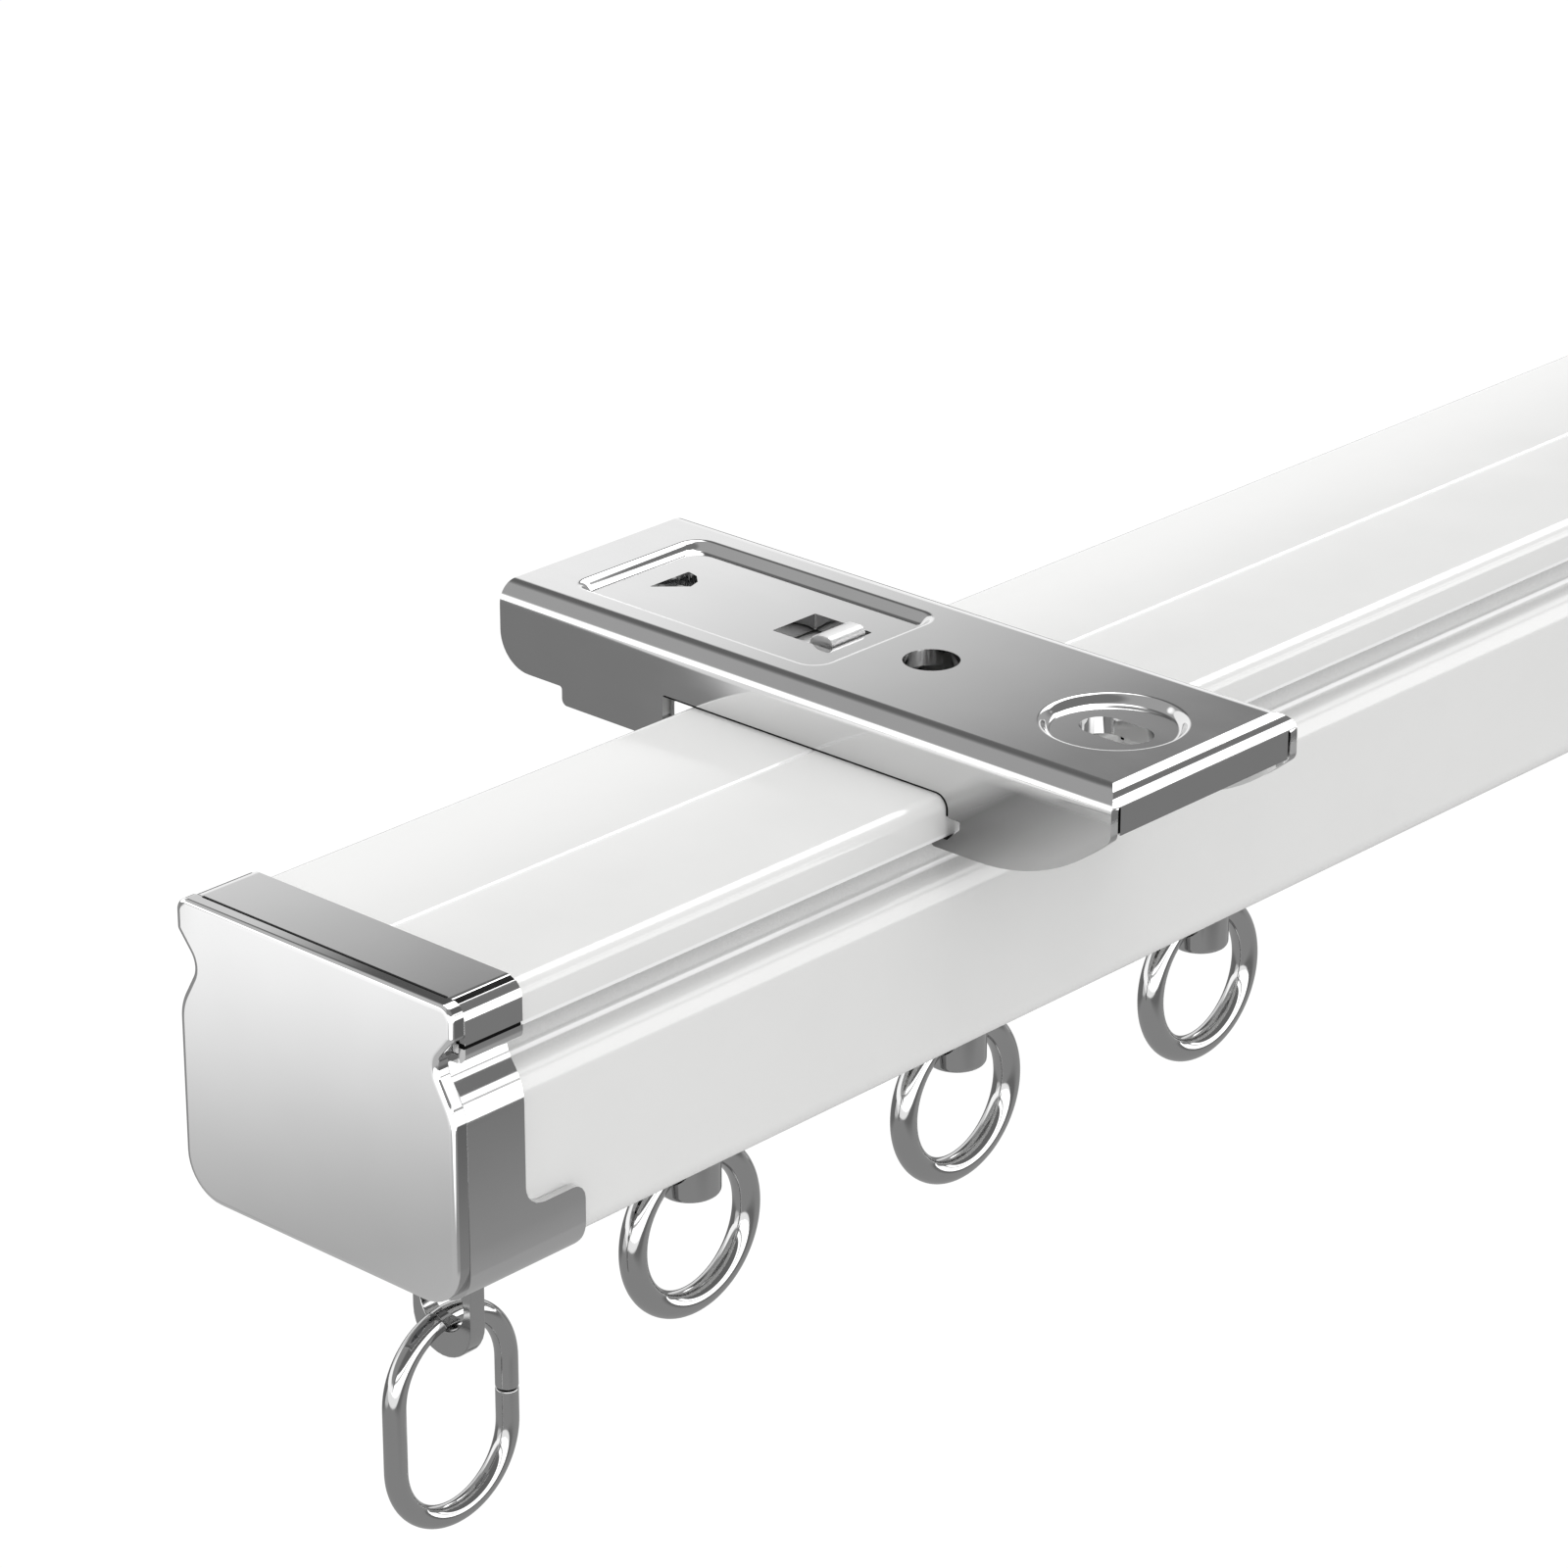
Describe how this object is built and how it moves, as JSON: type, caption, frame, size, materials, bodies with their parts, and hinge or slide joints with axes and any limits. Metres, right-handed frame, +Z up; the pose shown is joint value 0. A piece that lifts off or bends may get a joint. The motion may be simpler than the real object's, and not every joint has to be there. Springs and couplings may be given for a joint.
{
  "type": "ceiling curtain track",
  "caption": "Short ceiling curtain track: waisted white C-section rail in clip-on plated brackets, with wheeled ring runners and a plated cap, stop block and oval link at each end.",
  "frame": {"origin": "on the ceiling plane, halfway between the centres of the round screw holes of the two brackets", "axes": "+X along the rail, +Y across it towards the brackets' sprung end, +Z up into the ceiling"},
  "size_m": [0.3, 0.0471, 0.0412],
  "materials": {
    "rail_white": "smooth satin white coating on rolled metal",
    "cap_plating": "satin nickel-like plating",
    "lug_casting": "plated zinc casting, polished",
    "screw_steel": "zinc-plated screw steel",
    "link_wire": "polished plated wire",
    "bracket_sheet": "bright zinc-plated sheet",
    "catch_steel": "zinc-plated pressed piece",
    "spring_wire": "drawn spring wire",
    "carriage_plastic": "white acetal",
    "wheel_plastic": "white acetal",
    "axle_steel": "plain drawn steel",
    "stem_plating": "polished plated steel",
    "ring_plating": "polished plated wire"
  },
  "bodies": {
    "track": {"rail": "rail_white", "end_cap_left": "cap_plating", "end_cap_right": "cap_plating", "stop_block_left": "lug_casting", "stop_block_right": "lug_casting", "clamp_screw_left": "screw_steel", "clamp_screw_right": "screw_steel", "bracket_body_left": "bracket_sheet", "bracket_body_right": "bracket_sheet", "catch_spring_left": "spring_wire", "catch_spring_right": "spring_wire"},
    "catch_left": {"bracket_catch_left": "catch_steel"},
    "catch_right": {"bracket_catch_right": "catch_steel"},
    "link_left": {"end_link_left": "link_wire"},
    "link_right": {"end_link_right": "link_wire"},
    "runner_1": {"runner_1_carriage": "carriage_plastic"},
    "wheelset_1": {"runner_1_axle": "axle_steel", "runner_1_wheel_front": "wheel_plastic", "runner_1_wheel_back": "wheel_plastic"},
    "stem_1": {"runner_1_stem": "stem_plating"},
    "ring_1": {"runner_1_ring": "ring_plating"},
    "runner_2": {"runner_2_carriage": "carriage_plastic"},
    "wheelset_2": {"runner_2_axle": "axle_steel", "runner_2_wheel_front": "wheel_plastic", "runner_2_wheel_back": "wheel_plastic"},
    "stem_2": {"runner_2_stem": "stem_plating"},
    "ring_2": {"runner_2_ring": "ring_plating"},
    "runner_3": {"runner_3_carriage": "carriage_plastic"},
    "wheelset_3": {"runner_3_axle": "axle_steel", "runner_3_wheel_front": "wheel_plastic", "runner_3_wheel_back": "wheel_plastic"},
    "stem_3": {"runner_3_stem": "stem_plating"},
    "ring_3": {"runner_3_ring": "ring_plating"},
    "runner_4": {"runner_4_carriage": "carriage_plastic"},
    "wheelset_4": {"runner_4_axle": "axle_steel", "runner_4_wheel_front": "wheel_plastic", "runner_4_wheel_back": "wheel_plastic"},
    "stem_4": {"runner_4_stem": "stem_plating"},
    "ring_4": {"runner_4_ring": "ring_plating"},
    "runner_5": {"runner_5_carriage": "carriage_plastic"},
    "wheelset_5": {"runner_5_axle": "axle_steel", "runner_5_wheel_front": "wheel_plastic", "runner_5_wheel_back": "wheel_plastic"},
    "stem_5": {"runner_5_stem": "stem_plating"},
    "ring_5": {"runner_5_ring": "ring_plating"},
    "runner_6": {"runner_6_carriage": "carriage_plastic"},
    "wheelset_6": {"runner_6_axle": "axle_steel", "runner_6_wheel_front": "wheel_plastic", "runner_6_wheel_back": "wheel_plastic"},
    "stem_6": {"runner_6_stem": "stem_plating"},
    "ring_6": {"runner_6_ring": "ring_plating"}
  },
  "joints": [
    {"name": "catch_left_slide", "type": "slide", "parent": "track", "child": "catch_left", "axis": [0, 1, 0], "range_m": [0, 0.0022], "stiffness_N_per_m": 250, "springref_m": -0.004, "deforming": ["catch_spring_left"]},
    {"name": "catch_right_slide", "type": "slide", "parent": "track", "child": "catch_right", "axis": [0, 1, 0], "range_m": [0, 0.0022], "stiffness_N_per_m": 250, "springref_m": -0.004, "deforming": ["catch_spring_right"]},
    {"name": "link_left_swing", "type": "hinge", "parent": "track", "child": "link_left", "pos_m": [-0.1407, 0.00175, -0.0281], "axis": [1, 0, 0], "range_deg": [-90, 90]},
    {"name": "link_right_swing", "type": "hinge", "parent": "track", "child": "link_right", "pos_m": [0.1407, 0.00175, -0.0281], "axis": [1, 0, 0], "range_deg": [-90, 90]},
    {"name": "runner_1_slide", "type": "slide", "parent": "track", "child": "runner_1", "axis": [1, 0, 0], "range_m": [-0.008, 0.0115]},
    {"name": "runner_1_wheels_roll", "type": "hinge", "parent": "runner_1", "child": "wheelset_1", "pos_m": [-0.12155, 0.00175, -0.01515], "axis": [0, 1, 0], "continuous": true},
    {"name": "runner_1_stem_swivel", "type": "hinge", "parent": "runner_1", "child": "stem_1", "pos_m": [-0.12155, 0.00175, -0.0236], "axis": [0, 0, 1], "continuous": true},
    {"name": "runner_1_ring_swing", "type": "hinge", "parent": "stem_1", "child": "ring_1", "pos_m": [-0.12155, 0.00175, -0.0253], "axis": [1, 0, 0], "range_deg": [-90, 90]},
    {"name": "runner_2_slide", "type": "slide", "parent": "track", "child": "runner_2", "axis": [1, 0, 0], "range_m": [-0.0115, 0.0115]},
    {"name": "runner_2_wheels_roll", "type": "hinge", "parent": "runner_2", "child": "wheelset_2", "pos_m": [-0.09845, 0.00175, -0.01515], "axis": [0, 1, 0], "continuous": true},
    {"name": "runner_2_stem_swivel", "type": "hinge", "parent": "runner_2", "child": "stem_2", "pos_m": [-0.09845, 0.00175, -0.0236], "axis": [0, 0, 1], "continuous": true},
    {"name": "runner_2_ring_swing", "type": "hinge", "parent": "stem_2", "child": "ring_2", "pos_m": [-0.09845, 0.00175, -0.0253], "axis": [1, 0, 0], "range_deg": [-90, 90]},
    {"name": "runner_3_slide", "type": "slide", "parent": "track", "child": "runner_3", "axis": [1, 0, 0], "range_m": [-0.0115, 0.138]},
    {"name": "runner_3_wheels_roll", "type": "hinge", "parent": "runner_3", "child": "wheelset_3", "pos_m": [-0.07535, 0.00175, -0.01515], "axis": [0, 1, 0], "continuous": true},
    {"name": "runner_3_stem_swivel", "type": "hinge", "parent": "runner_3", "child": "stem_3", "pos_m": [-0.07535, 0.00175, -0.0236], "axis": [0, 0, 1], "continuous": true},
    {"name": "runner_3_ring_swing", "type": "hinge", "parent": "stem_3", "child": "ring_3", "pos_m": [-0.07535, 0.00175, -0.0253], "axis": [1, 0, 0], "range_deg": [-90, 90]},
    {"name": "runner_4_slide", "type": "slide", "parent": "track", "child": "runner_4", "axis": [1, 0, 0], "range_m": [-0.138, 0.0115]},
    {"name": "runner_4_wheels_roll", "type": "hinge", "parent": "runner_4", "child": "wheelset_4", "pos_m": [0.07535, 0.00175, -0.01515], "axis": [0, 1, 0], "continuous": true},
    {"name": "runner_4_stem_swivel", "type": "hinge", "parent": "runner_4", "child": "stem_4", "pos_m": [0.07535, 0.00175, -0.0236], "axis": [0, 0, 1], "continuous": true},
    {"name": "runner_4_ring_swing", "type": "hinge", "parent": "stem_4", "child": "ring_4", "pos_m": [0.07535, 0.00175, -0.0253], "axis": [1, 0, 0], "range_deg": [-90, 90]},
    {"name": "runner_5_slide", "type": "slide", "parent": "track", "child": "runner_5", "axis": [1, 0, 0], "range_m": [-0.0115, 0.0115]},
    {"name": "runner_5_wheels_roll", "type": "hinge", "parent": "runner_5", "child": "wheelset_5", "pos_m": [0.09845, 0.00175, -0.01515], "axis": [0, 1, 0], "continuous": true},
    {"name": "runner_5_stem_swivel", "type": "hinge", "parent": "runner_5", "child": "stem_5", "pos_m": [0.09845, 0.00175, -0.0236], "axis": [0, 0, 1], "continuous": true},
    {"name": "runner_5_ring_swing", "type": "hinge", "parent": "stem_5", "child": "ring_5", "pos_m": [0.09845, 0.00175, -0.0253], "axis": [1, 0, 0], "range_deg": [-90, 90]},
    {"name": "runner_6_slide", "type": "slide", "parent": "track", "child": "runner_6", "axis": [1, 0, 0], "range_m": [-0.0115, 0.008]},
    {"name": "runner_6_wheels_roll", "type": "hinge", "parent": "runner_6", "child": "wheelset_6", "pos_m": [0.12155, 0.00175, -0.01515], "axis": [0, 1, 0], "continuous": true},
    {"name": "runner_6_stem_swivel", "type": "hinge", "parent": "runner_6", "child": "stem_6", "pos_m": [0.12155, 0.00175, -0.0236], "axis": [0, 0, 1], "continuous": true},
    {"name": "runner_6_ring_swing", "type": "hinge", "parent": "stem_6", "child": "ring_6", "pos_m": [0.12155, 0.00175, -0.0253], "axis": [1, 0, 0], "range_deg": [-90, 90]}
  ],
  "couplings": [
    {"joint": "runner_1_wheels_roll", "follows": "runner_1_slide", "rad_per_m": 250},
    {"joint": "runner_2_wheels_roll", "follows": "runner_2_slide", "rad_per_m": 250},
    {"joint": "runner_3_wheels_roll", "follows": "runner_3_slide", "rad_per_m": 250},
    {"joint": "runner_4_wheels_roll", "follows": "runner_4_slide", "rad_per_m": 250},
    {"joint": "runner_5_wheels_roll", "follows": "runner_5_slide", "rad_per_m": 250},
    {"joint": "runner_6_wheels_roll", "follows": "runner_6_slide", "rad_per_m": 250}
  ]
}
